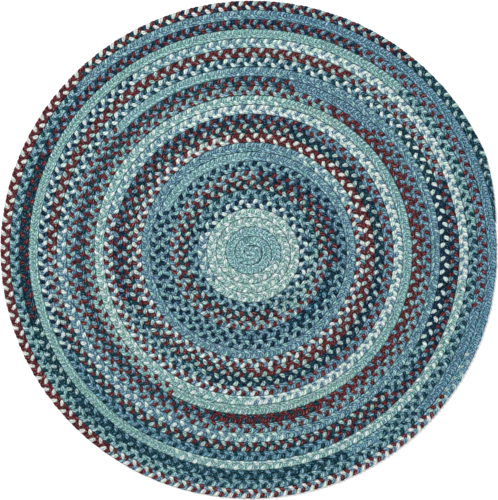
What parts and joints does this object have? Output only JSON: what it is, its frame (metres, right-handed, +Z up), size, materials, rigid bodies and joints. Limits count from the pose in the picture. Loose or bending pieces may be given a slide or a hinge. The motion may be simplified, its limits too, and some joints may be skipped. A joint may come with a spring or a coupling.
{
  "type": "braided rug",
  "caption": "Flat round rug made of one three-strand yarn braid, coiled outward from an oval centre and laced edge to edge.",
  "frame": {"origin": "on the floor under the middle of the rug's outline; the middle of the coil lies a few millimetres away", "axes": "+Z up out of the rug's upper face, +X along the longer way of the oval centre, towards the braid's end"},
  "size_m": [1.6738, 1.6788, 0.013],
  "materials": {
    "braided_yarn": "matt heathered yarn, the mean of all its colours",
    "yarn_cream": "matt heathered yarn",
    "yarn_burgundy": "matt heathered yarn",
    "yarn_navy": "matt heathered yarn",
    "yarn_spruce": "matt heathered yarn",
    "yarn_teal": "matt heathered yarn",
    "yarn_denim": "matt heathered yarn",
    "yarn_aqua": "matt heathered yarn",
    "yarn_mint": "matt heathered yarn",
    "yarn_pale": "matt heathered yarn",
    "lacing_thread": "waxed twisted thread between the turns"
  },
  "bodies": {
    "root": {"braided_coil": "braided_yarn"}
  },
  "joints": []
}
